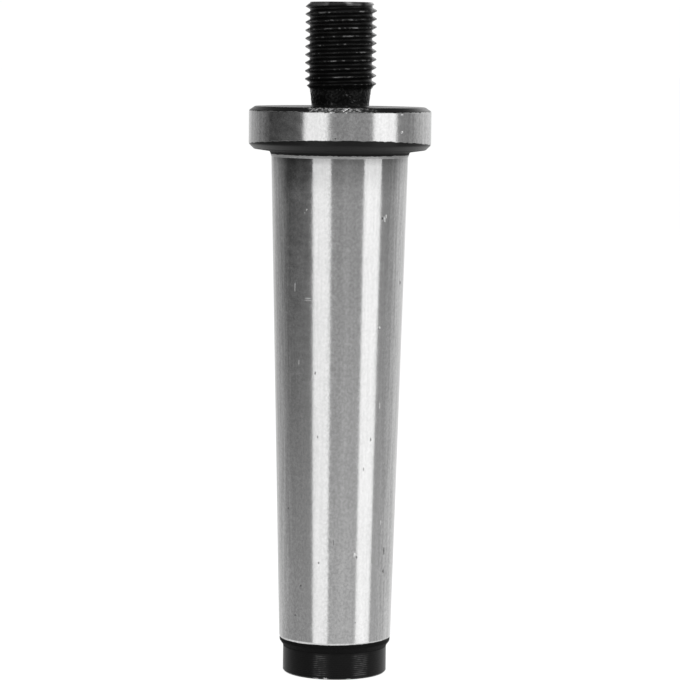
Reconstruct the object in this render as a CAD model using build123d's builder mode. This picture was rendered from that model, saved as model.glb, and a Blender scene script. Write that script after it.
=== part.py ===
# Drill chuck arbor, turned and ground from one steel bar. Millimetres.
# +Z runs up the axis from the small end of the taper to the tip of the threaded stud.
# The origin is the middle of the small end face, on which the arbor stands.
import math
import os

from build123d import *

# Ground shank: Morse taper no. 2
gauge_diameter = 17.780  # at the gauge line
gauge_height = 64.0  # gauge line above the small end face
gauge_to_collar = 5.2  # gauge line to the collar
taper_per_length = 1 / 20.020  # diameter lost for each millimetre
taper_end_height = 4.2  # lower end of the taper
taper_end_rounding = 0.4

# Small end, turned down so that the drawbar's pull never burrs the taper
end_diameter = 13.75
end_length = 3.55  # straight part, below the cone that leads to the taper
end_chamfer = 0.2

# Drawbar thread in the small end, M10 x 1.5, bored at its tapping size
drawbar_bore_diameter = 8.5
drawbar_bore_depth = 30.0
drawbar_mouth_diameter = 11.2

# Root of the collar, which the grinding wheel doesn't reach
root_height = 0.7
root_margin = 0.2  # left standing proud of the taper at the collar
root_fillet = 0.3

# Collar
collar_diameter = 24.0
collar_thickness = 5.9
underside_rise = 0.3  # of the shallow cone under the collar
lower_corner_width = 0.68
lower_corner_height = 0.68
lower_corner_rounding = 0.35
top_chamfer_width = 0.8
top_chamfer_height = 0.55
top_chamfer_rounding = 0.3

# Threaded stud: 3/8-24 UNF, left at its major diameter
thread_major_diameter = 9.35
thread_length = 10.7  # from its run-out to the tip
tip_chamfer = 0.6
neck_length = 2.95  # thread relief between the collar and the thread
neck_top_diameter = 8.1
neck_base_diameter = 7.6
neck_fillet = 0.2

# Centre hole in the tip, in which the arbor turned while it was ground
centre_pilot_diameter = 2.0
centre_pilot_depth = 3.9
centre_mouth_diameter = 4.25

centre_angle = 60.0  # included, of both mouths
drill_point_angle = 118.0

collar_base = gauge_height + gauge_to_collar
collar_top = collar_base + collar_thickness
stud_tip = collar_top + neck_length + thread_length
collar_radius = collar_diameter / 2


def taper_radius(height):
    """Radius of the ground taper at a height above the small end face."""
    return (gauge_diameter + (height - gauge_height) * taper_per_length) / 2


def circles(part, radius, height):
    """The part's round edges of one radius at one height."""
    tolerance = 1e-4
    at_height = part.edges().filter_by(GeomType.CIRCLE).filter_by_position(
        Axis.Z, height - tolerance, height + tolerance
    )
    return at_height.filter_by(lambda edge: abs(edge.radius - radius) < tolerance)


def drilled_hole(face, inward, bore_diameter, depth, mouth_diameter):
    """Half section of a drilled hole with a centring mouth, sunk from the end face at height `face`.

    `inward` is +1 where the hole runs up into the part and -1 where it runs down.
    """
    bore_radius = bore_diameter / 2
    mouth_radius = mouth_diameter / 2
    mouth_depth = (mouth_radius - bore_radius) / math.tan(math.radians(centre_angle / 2))
    point_depth = bore_radius / math.tan(math.radians(drill_point_angle / 2))
    Polyline(
        (0, face),
        (mouth_radius, face),
        (bore_radius, face + inward * mouth_depth),
        (bore_radius, face + inward * depth),
        (0, face + inward * (depth + point_depth)),
        close=True,
    )


with BuildPart() as arbor:
    # The ground taper, with the turned end below it
    end_radius = end_diameter / 2
    taper_end_radius = taper_radius(taper_end_height)
    root_base = collar_base - root_height
    root_radius = taper_radius(collar_base) + root_margin
    with BuildSketch(Plane.XZ):
        with BuildLine():
            Polyline(
                (0, 0),
                (end_radius, 0),
                (end_radius, end_length),
                (taper_end_radius, taper_end_height),
                (taper_radius(root_base), root_base),
                (root_radius, collar_base),
                (0, collar_base),
                close=True,
            )
        make_face()
    revolve(axis=Axis.Z)
    chamfer(circles(arbor.part, end_radius, 0), end_chamfer)
    fillet(circles(arbor.part, taper_end_radius, taper_end_height), taper_end_rounding)

    # The collar: a shallow cone underneath, a turned lower corner and a flat top chamfer
    with BuildSketch(Plane.XZ):
        with BuildLine():
            Polyline(
                (0, collar_base),
                (root_radius, collar_base),
                (collar_radius - lower_corner_width, collar_base + underside_rise),
                (collar_radius, collar_base + underside_rise + lower_corner_height),
                (collar_radius, collar_top - top_chamfer_height),
                (collar_radius - top_chamfer_width, collar_top),
                (0, collar_top),
                close=True,
            )
        make_face()
    revolve(axis=Axis.Z)
    fillet(circles(arbor.part, root_radius, collar_base), root_fillet)
    fillet(
        circles(arbor.part, collar_radius - lower_corner_width, collar_base + underside_rise)
        + circles(arbor.part, collar_radius, collar_base + underside_rise + lower_corner_height),
        lower_corner_rounding,
    )
    fillet(
        circles(arbor.part, collar_radius, collar_top - top_chamfer_height)
        + circles(arbor.part, collar_radius - top_chamfer_width, collar_top),
        top_chamfer_rounding,
    )

    # The stud: a relief cone at the neck, the run-out of the thread, then the thread itself
    neck_top = collar_top + neck_length
    neck_base_radius = neck_base_diameter / 2
    thread_radius = thread_major_diameter / 2
    run_out = (thread_major_diameter - neck_top_diameter) / 2
    with BuildSketch(Plane.XZ):
        with BuildLine():
            Polyline(
                (0, collar_top),
                (neck_base_radius, collar_top),
                (neck_top_diameter / 2, neck_top - run_out),
                (thread_radius, neck_top),
                (thread_radius, stud_tip - tip_chamfer),
                (thread_radius - tip_chamfer, stud_tip),
                (0, stud_tip),
                close=True,
            )
        make_face()
    revolve(axis=Axis.Z)
    fillet(circles(arbor.part, neck_base_radius, collar_top), neck_fillet)

    # Both end holes
    with BuildSketch(Plane.XZ):
        with BuildLine():
            drilled_hole(0, 1, drawbar_bore_diameter, drawbar_bore_depth, drawbar_mouth_diameter)
        make_face()
        with BuildLine():
            drilled_hole(stud_tip, -1, centre_pilot_diameter, centre_pilot_depth, centre_mouth_diameter)
        make_face()
    revolve(axis=Axis.Z, mode=Mode.SUBTRACT)

arbor.part.label = "arbor"

os.makedirs("parts", exist_ok=True)
export_step(arbor.part, "parts/arbor.step")
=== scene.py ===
# Drill chuck arbor: a ground Morse taper shank, a collar with a ground rim and a blackened threaded stud.
# Sizes in the dictionaries are in millimetres unless a note says otherwise.
import math

import bmesh
import bpy
import numpy as np
from mathutils import Matrix


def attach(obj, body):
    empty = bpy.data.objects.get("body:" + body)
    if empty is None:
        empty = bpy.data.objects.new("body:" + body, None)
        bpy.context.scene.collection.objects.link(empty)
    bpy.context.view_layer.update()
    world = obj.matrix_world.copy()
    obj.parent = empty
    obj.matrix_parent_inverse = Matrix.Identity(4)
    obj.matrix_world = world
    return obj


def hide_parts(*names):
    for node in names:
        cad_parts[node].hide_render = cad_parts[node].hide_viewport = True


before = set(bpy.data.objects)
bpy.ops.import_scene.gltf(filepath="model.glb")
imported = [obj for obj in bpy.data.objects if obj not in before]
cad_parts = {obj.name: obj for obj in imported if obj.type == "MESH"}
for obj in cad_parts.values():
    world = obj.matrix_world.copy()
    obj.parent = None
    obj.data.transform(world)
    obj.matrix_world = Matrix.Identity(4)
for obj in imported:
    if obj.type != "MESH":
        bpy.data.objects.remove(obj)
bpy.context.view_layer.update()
scene = bpy.context.scene
mm = 0.001
print("frame loaded")


def addNode(tree, kind, **settings):
    node = tree.nodes.new(kind)
    for name, value in settings.items():
        setattr(node, name, value)
    return node


def plug(tree, value, socket):
    # an output is joined to the socket, anything else is typed into it
    if isinstance(value, bpy.types.NodeSocket):
        tree.links.new(value, socket)
    else:
        socket.default_value = value


def calc(tree, operation, *values):
    node = addNode(tree, "ShaderNodeMath", operation=operation)
    for value, socket in zip(values, node.inputs):
        plug(tree, value, socket)
    return node.outputs[0]


def product(tree, first, *others):
    for value in others:
        first = calc(tree, "MULTIPLY", first, value)
    return first


def largest(tree, first, *others):
    for value in others:
        first = calc(tree, "MAXIMUM", first, value)
    return first


def ease(tree, value, start, end, low=0.0, high=1.0):
    # goes smoothly from low to high while value goes from start to end
    node = addNode(tree, "ShaderNodeMapRange", interpolation_type="SMOOTHSTEP")
    for item, socket in zip((value, start, end, low, high), node.inputs):
        plug(tree, item, socket)
    return node.outputs[0]


def band(tree, value, start, end, soft):
    # 1 between start and end, with soft edges
    rise = ease(tree, value, calc(tree, "SUBTRACT", start, soft), calc(tree, "ADD", start, soft))
    fall = ease(tree, value, calc(tree, "SUBTRACT", end, soft), calc(tree, "ADD", end, soft), 1.0, 0.0)
    return product(tree, rise, fall)


def blendNumber(tree, amount, low, high):
    # low where amount is 0, high where it is 1
    node = addNode(tree, "ShaderNodeMix", data_type="FLOAT")
    for item, socket in zip((amount, low, high), (node.inputs[0], node.inputs[2], node.inputs[3])):
        plug(tree, item, socket)
    return node.outputs[0]


def grey(tree, value):
    # a grey colour from one number
    node = addNode(tree, "ShaderNodeCombineColor")
    for socket in node.inputs[:3]:
        plug(tree, value, socket)
    return node.outputs[0]


def stretched(tree, point, across, along):
    # the point in millimetres, squeezed so that a pattern's grains are longer one way
    node = addNode(tree, "ShaderNodeMapping")
    tree.links.new(point, node.inputs["Vector"])
    node.inputs["Scale"].default_value = (across, across, along)
    return node.outputs[0]


def speckle(tree, point, scale, detail, rough):
    node = addNode(tree, "ShaderNodeTexNoise")
    tree.links.new(point, node.inputs["Vector"])
    node.inputs["Scale"].default_value = scale
    node.inputs["Detail"].default_value = detail
    node.inputs["Roughness"].default_value = rough
    return node.outputs[0]


def bump(tree, height, depth, before=None):
    # height is from 0 to 1, depth in millimetres; before is the bump under this one
    node = addNode(tree, "ShaderNodeBump")
    tree.links.new(height, node.inputs["Height"])
    node.inputs["Distance"].default_value = depth * mm
    if before is not None:
        tree.links.new(before, node.inputs["Normal"])
    return node.outputs[0]


arborSize = {
    "gaugeDiameter": 17.780,  # Morse taper no. 2, at the gauge line
    "gaugeHeight": 64.0,
    "collarBase": 69.2,
    "taper": 1 / 20.020,
    "groundEdge": 4.75,  # height of the lower edge of the ground part of the taper
    "groundBevel": (0.035, 0.18, 0.25),  # its worn edge: width, height, rounding
    "groundStep": (0.055, 0.03),  # in from the taper to the unground part, and down from the edge
    "taperEnd": 4.2,  # lower end of the whole taper
    "taperEndRounding": 0.4,
    "endDiameter": 13.75,
    "endLength": 3.55,
    "endChamfer": 0.2,
    "rootHeight": 0.7,  # unground root under the collar
    "rootMargin": 0.2,
    "rootFillet": 0.3,
    "collarDiameter": 24.0,
    "collarThickness": 5.9,
    "undersideRise": 0.3,
    "lowerCorner": (0.68, 0.68, 0.35),  # width, height, rounding
    "topChamfer": (0.8, 0.55, 0.3),
    "neckBaseDiameter": 7.6,
    "neckTopDiameter": 8.1,
    "neckLength": 2.95,
    "neckFillet": 0.2,
    "neckFoot": (0.001, 0.25),  # where the torn turning starts: out from the base, up from the collar
    "threadLength": 10.7,
    "tipChamfer": 0.6,
    "smallEdge": 0.06,  # broken edges that have no chamfer of their own
}
studThread = {  # 3/8-24 UNF, right-handed
    "pitch": 1.0583,
    "outside": 4.675,
    "root": 4.10,
    "start": 78.68,  # a height of the crest on the left of the stud
    "startAngle": math.pi,
    "fade": 0.75,  # run-out
    # where the rows of points lie in a pitch, with some at the edges of the crest and the root
    "phases": (0.0, 0.0625, 0.09, 0.20, 0.33, 0.376, 0.50, 0.624, 0.67, 0.80, 0.91, 0.9375),
}
drawbarThread = {  # M10 x 1.5 in the small end
    "pitch": 1.5,
    "bore": 4.25,
    "outside": 5.0,
    "mouth": 5.6,
    "depth": 30.0,
    "threaded": 25.0,
    "fade": 1.5,
    "crestHalf": 0.149,  # of a pitch
    "phases": (0.0, 0.149, 0.29, 0.4375, 0.5625, 0.71, 0.851),
}
centreHole = {"pilot": 1.0, "depth": 3.9, "mouth": 2.125}
neckTearing = {
    "depth": 0.09,
    "seed": 4,
    "step": 0.11,  # between the rows of points
    "waves": 60,
    "wavesRound": (6, 60),  # in a turn
    "wavesUp": 3.4,  # in a millimetre, at most
    "contrast": 3.0,
    "fade": 0.25,  # from each end
}
columns = 200  # round the arbor
halfThreadAngle = math.radians(30)
halfCentreAngle = math.radians(30)
halfDrillAngle = math.radians(59)


def taperRadius(height):
    # half the gauge diameter, plus half the taper for each millimetre above the gauge line
    return (arborSize["gaugeDiameter"] + (height - arborSize["gaugeHeight"]) * arborSize["taper"]) / 2


def alongProfile(corners, longest=1.6, arcSteps=6, nearEnd=0.06):
    # Points along a line of corners (radius, height, rounding). A rounded corner is an arc tangent to both
    # of its sides, made by turning from one side's normal to the other's in equal steps. Long sides are
    # divided so that no step is over `longest`, with one more point `nearEnd` from each end, or at 0.3 of a
    # short side, to keep the shading flat.
    points = []
    ends = [np.array(corner[:2], float) for corner in corners]
    for i, (_, _, rounding) in enumerate(corners):
        here = ends[i]
        if rounding and 0 < i < len(corners) - 1:
            back = ends[i - 1] - here
            ahead = ends[i + 1] - here
            back /= np.linalg.norm(back)
            ahead /= np.linalg.norm(ahead)
            half = math.acos(np.clip(back @ ahead, -1, 1)) / 2
            middle = back + ahead
            centre = here + middle / np.linalg.norm(middle) * rounding / math.sin(half)
            start = here + back * rounding / math.tan(half) - centre
            end = here + ahead * rounding / math.tan(half) - centre
            t = np.linspace(0, 1, arcSteps + 1)[:, None]
            sweep = math.pi - 2 * half
            arc = centre + (np.sin((1 - t) * sweep) * start + np.sin(t * sweep) * end) / math.sin(sweep)
        else:
            arc = here[None, :]
        if points:
            last = points[-1][-1]
            length = np.linalg.norm(arc[0] - last)
            steps = max(int(math.ceil(length / longest)), 1)
            t = np.linspace(0, 1, steps + 1)[1:-1]
            near = min(nearEnd / length, 0.3)
            t = np.concatenate([[near], t, [1 - near]])[:, None]
            points.append(last + (arc[0] - last) * t)
        points.append(arc)
    return np.concatenate(points)


angles = np.linspace(0, 2 * math.pi, columns + 1)


def turned(profile):
    # A profile (radius, height) turned about Z: the same radius and height at every angle.
    r = np.repeat(profile[:, :1], columns + 1, axis=1)
    z = np.repeat(profile[:, 1:], columns + 1, axis=1)
    return r, z


def helix(thread, bottom, top, radiusAt):
    # Rows that climb by one pitch a turn: height = start + pitch * (turn + phase + angle / 360),
    # held between bottom and top, so the ends close on plain rings.
    pitch = thread["pitch"]
    start = thread.get("start", bottom)
    shift = (angles - thread.get("startAngle", 0.0)) / (2 * math.pi)
    turns = np.arange(math.floor((bottom - start) / pitch) - 2, math.ceil((top - start) / pitch) + 2)
    phase = (turns[:, None] + np.array(thread["phases"])[None, :]).ravel()
    z = np.clip(start + pitch * (phase[:, None] + shift[None, :]), bottom, top)
    keep = (z.max(axis=1) > bottom) & (z.min(axis=1) < top)
    first, last = np.flatnonzero(keep)[[0, -1]]
    z = z[max(first - 1, 0):last + 2]
    fromCrest = (z - start) / pitch - shift[None, :]
    fromCrest = np.abs(fromCrest - np.round(fromCrest)) * pitch
    return radiusAt(z, fromCrest), z


def smooth(t):
    # t held between 0 and 1, as 3 t squared less 2 t cubed
    t = np.clip(t, 0, 1)
    return t * t * (3 - 2 * t)


def studRadius(z, fromCrest):
    # Outside radius of the stud: a V of 60 degrees between crest flats of an eighth of the pitch and root
    # flats, cut back by the tip's chamfer and by the run-out cone, and fading out towards the neck.
    thread = studThread
    flank = fromCrest - thread["pitch"] / 16
    cut = np.clip(flank / math.tan(halfThreadAngle), 0, thread["outside"] - thread["root"])
    lead = thread["outside"] - arborSize["tipChamfer"] + (studTip - z)
    runOut = arborSize["neckTopDiameter"] / 2 + (z - studBottom)
    outside = np.minimum(np.minimum(lead, runOut), thread["outside"])
    inside = np.minimum(outside, thread["outside"] - cut)
    return outside - (outside - inside) * smooth((z - studBottom) / thread["fade"])


def drawbarRadius(z, fromCrest):
    # Radius of the tapped hole: its crests at the bore, a V of 60 degrees cut outwards, opened by the mouth
    # cone and fading out at the depth of the tap.
    thread = drawbarThread
    flank = fromCrest - thread["pitch"] * thread["crestHalf"]
    cut = np.clip(flank / math.tan(halfThreadAngle), 0, thread["outside"] - thread["bore"])
    cut = cut * smooth((thread["threaded"] - z) / thread["fade"])
    cone = thread["mouth"] - z * math.tan(halfCentreAngle)
    return np.maximum(thread["bore"] + cut, cone)


def tornTurning(rows, tearing):
    # The neck as a blunt tool left it: its radius falls by the depth times a sum of cosines of angle and
    # height, held between 0 and 1. Each cosine has whole waves round a turn, and a random slope and start.
    # The ends stay as they are.
    r, z = turned(rows)
    random = np.random.default_rng(tearing["seed"])
    count = tearing["waves"]
    wavesRound = random.integers(*tearing["wavesRound"], count)[:, None, None]
    wavesUp = random.uniform(-tearing["wavesUp"], tearing["wavesUp"], count)[:, None, None]
    start = random.uniform(0, 2 * math.pi, count)[:, None, None]
    waves = np.cos(wavesRound * angles[None, None, :] + 2 * math.pi * wavesUp * z[None] + start).sum(axis=0)
    waves = np.clip(0.5 + waves / count * tearing["contrast"], 0, 1)
    fromEnds = np.minimum(rows[:, 1] - rows[0, 1], rows[-1, 1] - rows[:, 1])[:, None]
    return r - tearing["depth"] * waves * smooth(fromEnds / tearing["fade"]), z


def closedSurface(name, grids, mergeDistance=0.002):
    # Joins grids of radius and height, one after another, into one skin: x = r cos a, y = r sin a. The first
    # and last columns and the points on the axis are then merged.
    r = np.concatenate([grid[0] for grid in grids])
    z = np.concatenate([grid[1] for grid in grids])
    points = np.stack([r * np.cos(angles), r * np.sin(angles), z], axis=-1).reshape(-1, 3) * mm
    rows = len(r)
    corner = (np.arange(rows - 1)[:, None] * (columns + 1) + np.arange(columns)[None, :]).ravel()
    faces = np.stack([corner, corner + 1, corner + columns + 2, corner + columns + 1], axis=-1)
    mesh = bpy.data.meshes.new(name)
    mesh.from_pydata(points, [], faces.tolist())
    shell = bmesh.new()
    shell.from_mesh(mesh)
    bmesh.ops.remove_doubles(shell, verts=shell.verts, dist=mergeDistance * mm)
    bmesh.ops.recalc_face_normals(shell, faces=shell.faces)
    shell.to_mesh(mesh)
    shell.free()
    mesh.polygons.foreach_set("use_smooth", np.ones(len(mesh.polygons), bool))
    piece = bpy.data.objects.new(name, mesh)
    scene.collection.objects.link(piece)
    return piece


size = arborSize
edge = size["smallEdge"]
endRadius = size["endDiameter"] / 2
rootRadius = taperRadius(size["collarBase"]) + size["rootMargin"]
rootBase = size["collarBase"] - size["rootHeight"]
collarRadius = size["collarDiameter"] / 2
collarTop = size["collarBase"] + size["collarThickness"]
studBottom = collarTop + size["neckLength"] - (studThread["outside"] - size["neckTopDiameter"] / 2)
studTip = collarTop + size["neckLength"] + size["threadLength"]
lowWidth, lowHeight, lowRounding = size["lowerCorner"]
topWidth, topHeight, topRounding = size["topChamfer"]
bevelWidth, bevelHeight, bevelRounding = size["groundBevel"]
stepDepth, stepHeight = size["groundStep"]
bevelTop = size["groundEdge"] + bevelHeight
lowCornerHeight = size["collarBase"] + size["undersideRise"]
neckFoot = (size["neckBaseDiameter"] / 2 + size["neckFoot"][0], collarTop + size["neckFoot"][1], 0)

holeTop = drawbarThread["depth"]
holePoint = holeTop + drawbarThread["bore"] / math.tan(halfDrillAngle)
innerEnd = alongProfile([
    (0, holePoint, 0),
    (drawbarThread["bore"], holeTop, 0),
    (drawbarThread["bore"], drawbarThread["threaded"], 0),
], longest=2.0)
shank = alongProfile([
    (drawbarThread["mouth"], 0, 0),
    (endRadius - size["endChamfer"], 0, edge),
    (endRadius, size["endChamfer"], edge),
    (endRadius, size["endLength"], edge),
    (taperRadius(size["taperEnd"]) - stepDepth, size["taperEnd"], size["taperEndRounding"]),
    (taperRadius(size["groundEdge"]) - stepDepth, size["groundEdge"] - stepHeight, 0),
    (taperRadius(size["groundEdge"]) - bevelWidth, size["groundEdge"], 0),
    (taperRadius(bevelTop), bevelTop, bevelRounding),
    (taperRadius(rootBase), rootBase, edge),
    (rootRadius, size["collarBase"], size["rootFillet"]),
    (collarRadius - lowWidth, lowCornerHeight, lowRounding),
    (collarRadius, lowCornerHeight + lowHeight, lowRounding),
    (collarRadius, collarTop - topHeight, topRounding),
    (collarRadius - topWidth, collarTop, topRounding),
    (size["neckBaseDiameter"] / 2, collarTop, size["neckFillet"]),
    neckFoot,
])
neck = alongProfile([neckFoot, (size["neckTopDiameter"] / 2, studBottom, 0)], longest=neckTearing["step"])
pilotMouth = studTip - (centreHole["mouth"] - centreHole["pilot"]) / math.tan(halfCentreAngle)
pilotEnd = studTip - centreHole["depth"]
tipHole = alongProfile([
    (studThread["outside"] - size["tipChamfer"], studTip, edge),
    (centreHole["mouth"], studTip, edge),
    (centreHole["pilot"], pilotMouth, 0),
    (centreHole["pilot"], pilotEnd, 0),
    (0, pilotEnd - centreHole["pilot"] / math.tan(halfDrillAngle), 0),
])
drawbarRadii, drawbarHeights = helix(drawbarThread, 0.0, drawbarThread["threaded"], drawbarRadius)
arborBody = closedSurface("arbor_body", [
    turned(innerEnd),
    (drawbarRadii[::-1], drawbarHeights[::-1]),  # downwards, out of the hole
    turned(shank),
    tornTurning(neck, neckTearing),
    helix(studThread, studBottom, studTip, studRadius),
    turned(tipHole),
])
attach(arborBody, "root")
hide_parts("arbor")
print("arbor surface:", len(arborBody.data.vertices), "points")

groundSteel = {
    "colour": 0.62,
    "colourChange": 0.076,
    "rimChange": 1.5,  # the grain is stronger by this on the rim, and by the next near the small end
    "endChange": 1.25,
    "endHeights": (30.0, 8.0),  # where that sets in and where it is full
    "softboxStripeChange": 0.028,  # in the two bands along the arbor where the softboxes are reflected towards the camera, the grain is painted calmer so their reflections look smooth
    "softboxStripeBands": ((-0.53, -0.16, 0.10), (0.32, 0.80, 0.10)),  # radians from the front: start, end, softness
    "sideBand": (0.85, 1.75, 0.15),  # radians to either side, where the streaks show
    "streakChange": (0.02, 0.07),  # of tone, outside that band and in it
    "roughness": 0.20,
    "roughnessChange": 0.03,
    "anisotropy": 0.67,
    "anisotropyTurn": 0.25,  # in turns
    "collarShadeStart": 62.8,  # painted shade under the collar starts here, where the steel is also smoother
    "collarShadeEnd": 69.0,
    "collarShadeTone": 0.76,
    "collarRoughness": 0.13,
    "rootShadowTone": 0.72,  # painted shadow in the last millimetre under the collar
    "rootShadowHeights": (67.5, 68.5),
    "rootShadowEnd": (69.0, 69.1),  # the painted shadow is taken off again, and the collar has its own tone
    "grain": 0.004,  # depths of the grinding marks
    "chatter": 0.006,
    "streaks": 0.006,
    "ragged": 0.07,  # how far the edges of the ground parts wander, and the share of that at the small end
    "endRagged": 0.4,
    "softness": 0.03,
    "bottom": 4.73,
    "bottomTilt": 0.01,
    "top": 68.60,
    "outsideHole": (5.8, 6.2),  # radii: the tapped hole in the small end stays black
    "rimBottom": 70.10,
    "rimTilt": 0.07,  # the rim was ground a little out of true
    "rimSoftness": 0.05,
    "rimTop": 74.53,
    "rimRadii": (11.90, 11.96),
}
blackSteel = {
    # heights and radii give where a finish sets in and where it is full, or its start, end and softness
    "specular": 0.17,
    "colour": 0.006,
    "undersideColour": 0.017,
    "underside": (68.9, 72.0, 0.2),
    "roughness": 0.36,
    "coneRoughness": 0.8,
    "cones": ((68.85, 69.55, 0.06), (3.45, 4.7, 0.06)),  # under the collar, and below the ground taper
    "rootColour": 0.30,
    "rootEnd": (68.86, 0.04),
    "turningPitch": 0.254,
    "turningDepth": 0.004,
    "turnedEnd": (0.45, 3.2, 0.08),
    "turnedPatches": (0.35, 0.6, 0.35, 1.0),  # patches of noise: none, full, and the amounts there
    "ringHighlightColour": 0.085,  # painted highlight: paler metal on the tops of the turning rings
    "ridgeTops": (0.2, 0.9),
    "ringHighlightBands": ((-0.40, -0.15, 0.08), (0.38, 0.68, 0.08)),  # radians from the front, where the softboxes are reflected towards the camera
    "ringHighlightElsewhere": 0.05,
    "crestColour": 0.20,
    "crestRadii": (4.60, 4.66),
    "crestHeights": (76.0, 76.5),
    "crestPatches": (0.48, 0.66),
    "tipColour": 0.20,
    "tipHeights": (88.20, 88.30),
    "tipRadii": (4.00, 4.10),
    "tipPatches": (0.42, 0.56),
    "neckFleckColour": 0.10,
    "neck": (75.1, 78.0, 0.1),
    "neckPatches": (0.56, 0.66),
    "burrColour": (0.03, 0.55),  # of torn metal on the collar's top chamfer, in front of the neck
    "burrGrain": (0.42, 0.68),
    "burrSides": (-3.9, 3.9, 0.8),
    "burrRadii": (10.9, 11.3),
    "burrWander": (0.6, 2.0),  # of their inner edge and of their sides
    "burrFront": (-8.0, -9.0),
    "burrHeights": (74.50, 74.62),
    "burrDepth": 0.12,
}
dings = [
    # middle, half sizes across, inwards and along, and the tone inside it
    ((5.62, -6.78, 60.80), (0.13, 0.3, 0.26), 0.10),  # the deep one, with its raised lip
    ((5.92, -6.50, 60.62), (0.10, 0.3, 0.34), 1.00),
    ((6.10, -6.36, 61.02), (0.08, 0.3, 0.26), 0.95),
    ((-4.17, -7.79, 61.83), (0.10, 0.3, 0.12), 0.75),
    ((-4.42, -7.65, 61.40), (0.07, 0.3, 0.09), 0.70),
    ((8.09, -2.91, 52.18), (0.12, 0.3, 0.26), 0.08),
    ((-5.60, -6.50, 51.75), (0.06, 0.3, 0.62), 0.85),
    ((5.43, -6.47, 46.55), (0.09, 0.3, 0.16), 0.95),
    ((5.28, -6.60, 46.40), (0.08, 0.3, 0.14), 0.20),
    ((-3.91, -7.59, 50.36), (0.48, 0.3, 0.05), 0.70),
    ((-3.91, -7.59, 50.10), (0.44, 0.3, 0.05), 0.70),
    ((-2.88, -7.78, 40.70), (0.08, 0.3, 0.24), 0.25),
    ((-5.01, -6.66, 41.90), (0.06, 0.3, 0.30), 0.85),
    ((5.56, -6.02, 36.32), (0.06, 0.3, 0.40), 0.90),
    ((-2.48, -7.71, 32.34), (0.06, 0.3, 0.22), 0.30),
    ((3.55, -7.15, 28.03), (0.06, 0.3, 0.25), 0.30),
    ((5.88, -5.13, 20.72), (0.06, 0.3, 0.30), 0.90),
    ((-0.27, -7.74, 18.42), (0.08, 0.3, 0.50), 0.22),
    ((6.37, -4.35, 16.84), (0.10, 0.3, 0.55), 0.10),
    ((6.30, -4.33, 14.17), (0.10, 0.3, 0.36), 0.10),
    ((2.52, -7.28, 16.75), (0.12, 0.3, 0.26), 1.00),
    ((2.75, -7.20, 16.45), (0.11, 0.3, 0.18), 0.15),
    ((-2.19, -7.36, 15.66), (0.09, 0.3, 0.12), 0.25),
    ((-4.54, -6.09, 12.41), (0.13, 0.3, 0.13), 0.10),
    ((4.46, -6.75, 31.91), (0.09, 0.3, 0.26), 0.25),
    ((-6.26, -4.73, 22.48), (0.08, 0.3, 0.20), 0.15),
    ((-5.21, -5.39, 8.38), (0.12, 0.3, 0.10), 0.12),
    ((2.69, -6.98, 7.72), (0.08, 0.3, 0.14), 0.25),
    ((7.98, -8.96, 72.00), (0.16, 0.3, 0.16), 1.00),  # on the rim and its edges
    ((7.89, -9.04, 74.25), (0.20, 0.3, 0.08), 1.00),
    ((-0.56, -11.98, 71.22), (0.16, 0.3, 0.14), 0.06),
    ((-1.90, -11.85, 74.50), (0.22, 0.3, 0.10), 0.08),
    ((-1.20, -11.93, 74.42), (0.12, 0.3, 0.16), 0.95),
    ((-0.55, -11.97, 74.50), (0.20, 0.3, 0.12), 0.08),
    ((0.80, -11.96, 74.50), (0.16, 0.3, 0.10), 0.95),
    ((1.12, -11.10, 75.06), (0.17, 0.3, 0.09), 1.00),  # a scratch down the collar's top chamfer
    ((0.90, -11.36, 74.94), (0.15, 0.3, 0.10), 1.00),
    ((0.68, -11.54, 74.82), (0.15, 0.3, 0.10), 1.00),
    ((0.46, -11.74, 74.68), (0.15, 0.3, 0.11), 1.00),
    ((-2.40, -6.42, 0.12), (0.50, 0.4, 0.10), 0.35),  # rubbed spots on the small end's edge
    ((-1.15, -6.76, 0.16), (0.40, 0.4, 0.16), 0.40),
    ((1.90, -6.60, 0.10), (0.45, 0.4, 0.08), 0.30),
]
dingShape = {
    "depth": 0.025,
    "sides": (0.5, 1.1),  # where a pit's floor ends and its edge is, in half sizes
    "wander": 0.35,  # of that edge, in half sizes
}
patterns = {
    # the finishes' noise: its squeeze across and along the arbor, scale, detail and roughness
    "ragged": (1.0, 1.0, 1.6, 2.0, 0.5),
    "grain": (1.0, 0.8, 3.2, 3.0, 0.6),
    "chatter": (0.6, 1.0, 1.1, 2.0, 0.5),
    "streaks": (1.0, 0.04, 2.4, 2.0, 0.5),
    "crest": (1.0, 1.0, 1.5, 2.0, 0.5),
    "tip": (1.0, 0.0, 0.28, 2.0, 0.5),
    "turnedEnd": (1.0, 1.0, 1.4, 2.0, 0.5),
    "neck": (1.0, 1.0, 1.9, 4.0, 0.7),
    "burrs": (1.0, 1.0, 2.6, 4.0, 0.7),
    "burrSides": (1.0, 1.0, 0.9, 2.0, 0.5),
    "dings": (1.0, 1.0, 6.0, 2.0, 0.5),
}


def pattern(tree, point, name):
    across, along, scale, detail, rough = patterns[name]
    return speckle(tree, stretched(tree, point, across, along), scale, detail, rough)


def swing(tree, noise, reach, amount):
    # noise that strays from 0.5 by up to reach either way, turned into a number from -amount to amount
    return ease(tree, noise, 0.5 - reach, 0.5 + reach, -amount, amount)


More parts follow.
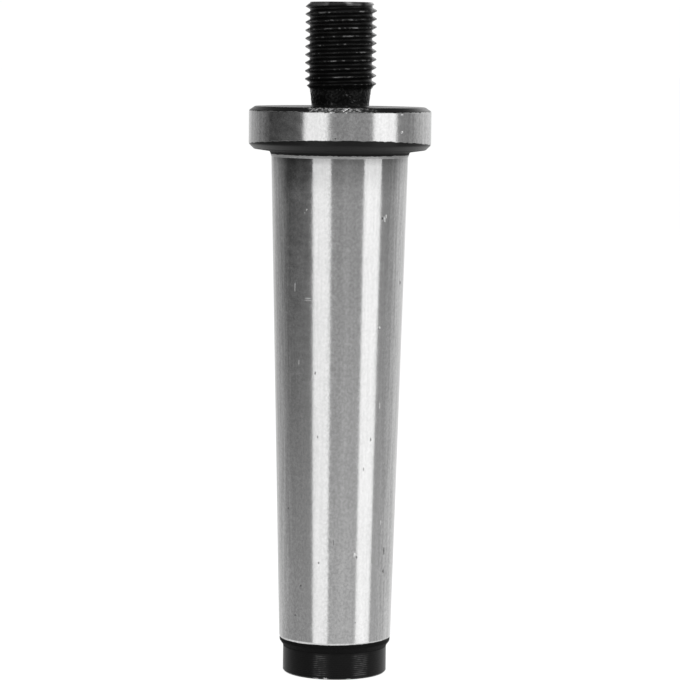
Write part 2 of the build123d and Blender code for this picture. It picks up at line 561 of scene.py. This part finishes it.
arborFinish = bpy.data.materials.new("groundAndBlackedSteel")
arborFinish.use_nodes = True
tree = arborFinish.node_tree
shader = tree.nodes["Principled BSDF"]
shader.inputs["Specular IOR Level"].default_value = blackSteel["specular"]
shader.inputs["Anisotropic"].default_value = groundSteel["anisotropy"]
shader.inputs["Anisotropic Rotation"].default_value = groundSteel["anisotropyTurn"]
aroundAxis = addNode(tree, "ShaderNodeTangent", direction_type="RADIAL", axis="Z")
plug(tree, aroundAxis.outputs[0], shader.inputs["Tangent"])
coordinates = addNode(tree, "ShaderNodeTexCoord").outputs["Object"]
inMillimetres = addNode(tree, "ShaderNodeVectorMath", operation="SCALE")
tree.links.new(coordinates, inMillimetres.inputs[0])
inMillimetres.inputs["Scale"].default_value = 1 / mm
point = inMillimetres.outputs[0]
split = addNode(tree, "ShaderNodeSeparateXYZ")
tree.links.new(point, split.inputs[0])
px, py, pz = split.outputs
fromAxis = calc(tree, "SQRT", calc(tree, "ADD", product(tree, px, px), product(tree, py, py)))
azimuth = calc(tree, "ARCTAN2", px, product(tree, py, -1.0))  # from the front, towards the right

# where the wheel has ground: the taper and the collar's rim, with slightly ragged edges
bottom, top, rimBottom, rimTop = (groundSteel[name] for name in ("bottom", "top", "rimBottom", "rimTop"))
soft, rimSoft = groundSteel["softness"], groundSteel["rimSoftness"]
ragged = swing(tree, pattern(tree, point, "ragged"), 0.3, groundSteel["ragged"])
raggedHeight = calc(tree, "ADD", pz, ragged)
endHeight = calc(tree, "ADD", pz, product(tree, ragged, groundSteel["endRagged"]))
endHeight = calc(tree, "SUBTRACT", endHeight, product(tree, px, groundSteel["bottomTilt"]))
onTaper = product(
    tree,
    ease(tree, endHeight, bottom - soft, bottom + soft),
    ease(tree, raggedHeight, top - soft, top + soft, 1.0, 0.0),
    ease(tree, fromAxis, *groundSteel["outsideHole"]),
)
rimHeight = calc(tree, "ADD", raggedHeight, product(tree, py, groundSteel["rimTilt"]))
onRim = product(
    tree,
    ease(tree, rimHeight, rimBottom - rimSoft, rimBottom + rimSoft),
    ease(tree, raggedHeight, rimTop - soft, rimTop + soft, 1.0, 0.0),
    ease(tree, fromAxis, *groundSteel["rimRadii"]),
)
ground = largest(tree, onTaper, onRim)

# the steel's colour: mottled by the grain, with painted shade under the collar that is darkest in the last
# millimetre
grain = pattern(tree, point, "grain")
chatter = pattern(tree, point, "chatter")
streaks = pattern(tree, point, "streaks")
# calmer grain painted where the softboxes are reflected towards the camera, so their stripes look smooth
underSoftboxStripes = largest(tree, *(band(tree, azimuth, *limits) for limits in groundSteel["softboxStripeBands"]))
atSide = band(tree, calc(tree, "ABSOLUTE", azimuth), *groundSteel["sideBand"])
grainChange = product(
    tree,
    swing(tree, grain, 0.25, 1.0),
    blendNumber(tree, underSoftboxStripes, groundSteel["colourChange"], groundSteel["softboxStripeChange"]),
    blendNumber(tree, onRim, 1.0, groundSteel["rimChange"]),
    ease(tree, pz, *groundSteel["endHeights"], 1.0, groundSteel["endChange"]),
)
streakAmount = blendNumber(tree, atSide, *groundSteel["streakChange"])
streakChange = product(tree, swing(tree, streaks, 0.2, 1.0), streakAmount)
steelGrey = calc(tree, "ADD", calc(tree, "ADD", grainChange, streakChange), groundSteel["colour"])
# painted shade under the collar, deepening upwards to the root; the steel is smoother there too
nearCollar = product(
    tree,
    ease(tree, pz, groundSteel["collarShadeStart"], top),
    ease(tree, pz, top, groundSteel["collarShadeEnd"], 1.0, 0.0),
)
# darkened by the painted shade under the collar, and by a painted shadow in the last millimetre below the
# root
steelGrey = product(
    tree,
    steelGrey,
    blendNumber(tree, nearCollar, 1.0, groundSteel["collarShadeTone"]),
    ease(tree, pz, *groundSteel["rootShadowHeights"], 1.0, groundSteel["rootShadowTone"]),
    ease(tree, pz, *groundSteel["rootShadowEnd"], 1.0, 1 / groundSteel["rootShadowTone"]),
)
steelRough = swing(tree, chatter, 0.25, groundSteel["roughnessChange"])
collarRough = blendNumber(tree, nearCollar, groundSteel["roughness"], groundSteel["collarRoughness"])
steelRough = calc(tree, "ADD", steelRough, collarRough)

# the black: a paler root, rubbed crests, a paler edge at the tip, painted highlights on the turning rings,
# flecks on the neck, burrs in front of it
onRoot = band(tree, raggedHeight, top, *blackSteel["rootEnd"])
crest = product(
    tree,
    ease(tree, fromAxis, *blackSteel["crestRadii"]),
    ease(tree, pz, *blackSteel["crestHeights"]),
    ease(tree, pattern(tree, point, "crest"), *blackSteel["crestPatches"]),
)
tipRing = product(
    tree,
    ease(tree, pz, *blackSteel["tipHeights"]),
    ease(tree, fromAxis, *blackSteel["tipRadii"]),
    ease(tree, pattern(tree, point, "tip"), *blackSteel["tipPatches"]),
)
turningRings = calc(tree, "SINE", product(tree, pz, 2 * math.pi / blackSteel["turningPitch"]))
onEnd = product(
    tree,
    band(tree, pz, *blackSteel["turnedEnd"]),
    ease(tree, pattern(tree, point, "turnedEnd"), *blackSteel["turnedPatches"]),
)
# painted highlight on the tops of the turning rings, full where the softboxes are reflected and faint
# elsewhere
highlightSides = largest(tree, *(band(tree, azimuth, *limits) for limits in blackSteel["ringHighlightBands"]))
ringHighlights = product(
    tree,
    ease(tree, turningRings, *blackSteel["ridgeTops"]),
    onEnd,
    ease(tree, highlightSides, 0.0, 1.0, blackSteel["ringHighlightElsewhere"], 1.0),
)
neckFlecks = product(
    tree,
    band(tree, pz, *blackSteel["neck"]),
    ease(tree, pattern(tree, point, "neck"), *blackSteel["neckPatches"]),
)
burrGrain = pattern(tree, point, "burrs")
edgeWander, sideWander = blackSteel["burrWander"]
burrEdge = calc(tree, "ADD", fromAxis, swing(tree, burrGrain, 0.3, edgeWander))
burrSide = calc(tree, "ADD", px, swing(tree, pattern(tree, point, "burrSides"), 0.3, sideWander))
burrs = product(
    tree,
    band(tree, burrSide, *blackSteel["burrSides"]),
    ease(tree, burrEdge, *blackSteel["burrRadii"]),
    ease(tree, py, *blackSteel["burrFront"]),
    ease(tree, pz, *blackSteel["burrHeights"]),
)
underCollar = band(tree, pz, *blackSteel["underside"])
blackGrey = blendNumber(tree, underCollar, blackSteel["colour"], blackSteel["undersideColour"])
blackGrey = blendNumber(tree, onRoot, blackGrey, blackSteel["rootColour"])
blackGrey = blendNumber(tree, ringHighlights, blackGrey, blackSteel["ringHighlightColour"])
blackGrey = blendNumber(tree, neckFlecks, blackGrey, blackSteel["neckFleckColour"])
blackGrey = blendNumber(tree, tipRing, blackGrey, blackSteel["tipColour"])
blackGrey = blendNumber(tree, crest, blackGrey, blackSteel["crestColour"])
burrGrey = ease(tree, burrGrain, *blackSteel["burrGrain"], *blackSteel["burrColour"])
blackGrey = blendNumber(tree, burrs, blackGrey, burrGrey)
dullCones = largest(tree, *(band(tree, pz, *limits) for limits in blackSteel["cones"]))
blackRough = blendNumber(tree, dullCones, blackSteel["roughness"], blackSteel["coneRoughness"])

shade = blendNumber(tree, ground, blackGrey, steelGrey)
rough = blendNumber(tree, ground, blackRough, steelRough)
metal = largest(tree, ground, onRoot, crest, ringHighlights, tipRing, burrs, neckFlecks)

# dings: shallow pits, most of them longer along the arbor than across it
wobble = swing(tree, pattern(tree, point, "dings"), 0.3, dingShape["wander"])
pits = []
for place, halfSizes, floorTone in dings:
    offset = addNode(tree, "ShaderNodeVectorMath", operation="SUBTRACT")
    tree.links.new(point, offset.inputs[0])
    offset.inputs[1].default_value = place
    scaled = addNode(tree, "ShaderNodeVectorMath", operation="DIVIDE")
    tree.links.new(offset.outputs[0], scaled.inputs[0])
    scaled.inputs[1].default_value = halfSizes
    far = addNode(tree, "ShaderNodeVectorMath", operation="LENGTH")
    tree.links.new(scaled.outputs[0], far.inputs[0])
    inside = ease(tree, calc(tree, "ADD", far.outputs["Value"], wobble), *dingShape["sides"], 1.0, 0.0)
    shade = blendNumber(tree, inside, shade, floorTone)
    pits.append(inside)
pitDepth = largest(tree, *pits)

plug(tree, grey(tree, shade), shader.inputs["Base Color"])
plug(tree, largest(tree, metal, pitDepth), shader.inputs["Metallic"])
plug(tree, rough, shader.inputs["Roughness"])

# relief: grinding marks on the steel, turning rings on the small end, burrs and dings
normal = bump(tree, product(tree, grain, ground), groundSteel["grain"])
normal = bump(tree, product(tree, chatter, ground), groundSteel["chatter"], normal)
normal = bump(tree, product(tree, streaks, atSide, ground), groundSteel["streaks"], normal)
normal = bump(tree, product(tree, turningRings, onEnd), blackSteel["turningDepth"], normal)
normal = bump(tree, product(tree, burrGrain, burrs), blackSteel["burrDepth"], normal)
normal = bump(tree, product(tree, pitDepth, -1.0), dingShape["depth"], normal)
plug(tree, normal, shader.inputs["Normal"])
arborBody.data.materials.append(arborFinish)
print("finishes done")

cameraView = {
    "distance": 400.0,
    "side": 0.2961,
    "height": 81.2595,
    "down": 0.0921639,  # radians below level
    "lean": 0.0108365,  # radians clockwise
    "focus": 3034.18,  # focal length in pixels
    "picture": 680,  # pixels across
    "sensor": 36.0,
    "nearest": 10.0,
}
view = bpy.data.cameras.new("camera")
view.sensor_width = cameraView["sensor"]
view.lens = cameraView["focus"] / cameraView["picture"] * view.sensor_width
view.clip_start = cameraView["nearest"] * mm
camera = bpy.data.objects.new("camera", view)
scene.collection.objects.link(camera)
down, lean = cameraView["down"], cameraView["lean"]
levelRight = np.array([1.0, 0.0, 0.0])
levelUp = np.array([0.0, math.sin(down), math.cos(down)])
backwards = np.array([0.0, -math.cos(down), math.sin(down)])
cameraRight = levelRight * math.cos(lean) + levelUp * math.sin(lean)
cameraUp = levelUp * math.cos(lean) - levelRight * math.sin(lean)
cameraPlace = np.array([cameraView["side"], -cameraView["distance"], cameraView["height"]]) * mm
directions = np.column_stack([cameraRight, cameraUp, backwards, cameraPlace])
camera.matrix_world = Matrix(np.vstack([directions, [0, 0, 0, 1]]).tolist())
bpy.context.scene.camera = camera
print("camera set")

# a pale studio in metres, with two tall softboxes in front and one soft light above
softboxes = {
    # name: degrees from the camera, width in degrees, radiance
    "leftSoftbox": (-30.0, 32.0, 0.96),
    "rightSoftbox": (59.0, 33.0, 1.15),
}
softboxDistance = 0.9
softboxHeight = 0.9
softboxMiddle = 0.05  # above the floor
topLight = {"size": 0.8, "radiance": 1.6, "place": (0, -0.2, 0.95)}


def softLight(name, width, height, radiance):
    # a lamp that the camera doesn't see: its power is radiance * pi * area
    lamp = bpy.data.lights.new(name, "AREA")
    lamp.shape = "RECTANGLE"
    lamp.size = width
    lamp.size_y = height
    lamp.energy = radiance * math.pi * width * height
    item = bpy.data.objects.new(name, lamp)
    scene.collection.objects.link(item)
    item.visible_camera = False
    return item


for name, (side, width, radiance) in softboxes.items():
    item = softLight(name, 2 * softboxDistance * math.tan(math.radians(width / 2)), softboxHeight, radiance)
    turn = math.radians(side)
    item.location = (softboxDistance * math.sin(turn), -softboxDistance * math.cos(turn), softboxMiddle)
    item.rotation_euler = (math.radians(90), 0, turn)
    print(name, "at", [round(v, 3) for v in item.location])
item = softLight("topLight", topLight["size"], topLight["size"], topLight["radiance"])
item.location = topLight["place"]

# the room's tones round the arbor: degrees from the camera towards the right, and the tone there,
# for directions level with the arbor, then lower and then higher
levelTones = [
    (-180, 0.78), (-157, 0.68), (-142, 0.46), (-116, 0.25), (-105, 0.12), (-97, 0.048), (-85, 0.046),
    (-73, 0.064), (-60, 0.07), (-47, 0.13), (-45, 0.40), (-14, 0.40), (-5, 0.30), (1, 0.28), (14, 0.345),
    (25, 0.31), (38, 0.34), (76, 0.30), (94, 0.28), (106, 0.36), (119, 0.58), (137, 0.74), (180, 0.82),
]
lowTones = [
    (-180, 0.86), (-153, 0.72), (-123, 0.60), (-103, 0.48), (-91, 0.44), (-73, 0.43), (-60, 0.425),
    (-47, 0.42), (-45, 0.33), (-14, 0.36), (-8, 0.61), (1, 0.63), (14, 0.70), (25, 0.67), (38, 0.65),
    (43, 0.30), (75, 0.26), (80, 0.54), (90, 0.62), (107, 0.64), (127, 0.74), (164, 0.86), (180, 0.88),
]
highTones = [
    (-180, 1.10), (-165, 0.60), (-150, 0.25), (-100, 0.06), (-45, 0.10), (0, 0.30), (90, 0.35),
    (130, 0.90), (150, 1.60), (170, 1.60), (180, 1.10),
]
room = {
    # height of the direction, from -1 for down to 1 for up: where each zone sets in and where it is full
    "low": (-0.102, -0.205),
    "high": (0.10, 0.25),
    "floor": (-0.30, -0.46),
    "ceiling": (0.35, 0.60),
    "floorTone": 1.05,
    "ceilingTone": 0.20,
    "white": 1.02,  # what the camera sees behind the arbor
}


def tonesAround(tree, around, tones):
    # a ramp of greys once round the room
    ramp = addNode(tree, "ShaderNodeValToRGB")
    ramp.color_ramp.interpolation = "EASE"
    elements = ramp.color_ramp.elements
    for degrees, tone in tones:
        if degrees <= -180:
            element = elements[0]
        elif degrees >= 180:
            element = elements[-1]
        else:
            element = elements.new(degrees / 360 + 0.5)
        element.color = (tone, tone, tone, 1)
    plug(tree, around, ramp.inputs[0])
    parts = addNode(tree, "ShaderNodeSeparateColor")
    tree.links.new(ramp.outputs[0], parts.inputs[0])
    return parts.outputs[0]


def mixShaders(tree, amount, plain, other, output):
    # plain where amount is 0, other where it is 1
    mixed = addNode(tree, "ShaderNodeMixShader")
    plug(tree, amount, mixed.inputs[0])
    tree.links.new(plain.outputs[0], mixed.inputs[1])
    tree.links.new(other.outputs[0], mixed.inputs[2])
    tree.links.new(mixed.outputs[0], addNode(tree, output).inputs[0])


world = bpy.data.worlds.new("studio")
scene.world = world
world.use_nodes = True
tree = world.node_tree
tree.nodes.clear()
direction = addNode(tree, "ShaderNodeTexCoord").outputs["Generated"]
split = addNode(tree, "ShaderNodeSeparateXYZ")
tree.links.new(direction, split.inputs[0])
dx, dy, dz = split.outputs
around = calc(tree, "ARCTAN2", dx, product(tree, dy, -1.0))
around = calc(tree, "ADD", calc(tree, "DIVIDE", around, 2 * math.pi), 0.5)
roomTone = tonesAround(tree, around, levelTones)
roomTone = blendNumber(tree, ease(tree, dz, *room["low"]), roomTone, tonesAround(tree, around, lowTones))
roomTone = blendNumber(tree, ease(tree, dz, *room["high"]), roomTone, tonesAround(tree, around, highTones))
roomTone = blendNumber(tree, ease(tree, dz, *room["floor"]), roomTone, room["floorTone"])
roomTone = blendNumber(tree, ease(tree, dz, *room["ceiling"]), roomTone, room["ceilingTone"])
roomLight = addNode(tree, "ShaderNodeBackground")
plug(tree, grey(tree, roomTone), roomLight.inputs["Color"])
white = addNode(tree, "ShaderNodeBackground")
white.inputs["Color"].default_value = (1, 1, 1, 1)
white.inputs["Strength"].default_value = room["white"]
rays = addNode(tree, "ShaderNodeLightPath")
mixShaders(tree, rays.outputs["Is Camera Ray"], roomLight, white, "ShaderNodeOutputWorld")

studioFloor = {
    "half": 20.0,  # metres
    "drop": 0.02,
    "colour": 0.85,
    "glow": 1.28,  # only the camera sees it
    "glowShare": 0.75,
}
floorMesh = bpy.data.meshes.new("floor")
half = studioFloor["half"]
corners = [(-half, -half, 0), (half, -half, 0), (half, half, 0), (-half, half, 0)]
floorMesh.from_pydata(corners, [], [(0, 1, 2, 3)])
floorMesh.transform(Matrix.Translation((0, 0, -studioFloor["drop"] * mm)))
floor = bpy.data.objects.new("floor", floorMesh)
scene.collection.objects.link(floor)
floor.visible_glossy = False
paleFloor = bpy.data.materials.new("paleFloor")
paleFloor.use_nodes = True
tree = paleFloor.node_tree
tree.nodes.clear()
matt = addNode(tree, "ShaderNodeBsdfDiffuse")
matt.inputs["Color"].default_value = (studioFloor["colour"],) * 3 + (1,)
glow = addNode(tree, "ShaderNodeEmission")
glow.inputs["Strength"].default_value = studioFloor["glow"]
rays = addNode(tree, "ShaderNodeLightPath")
glowAmount = product(tree, rays.outputs["Is Camera Ray"], studioFloor["glowShare"])
mixShaders(tree, glowAmount, matt, glow, "ShaderNodeOutputMaterial")
floorMesh.materials.append(paleFloor)
print("studio done")

scene.view_settings.view_transform = "Standard"
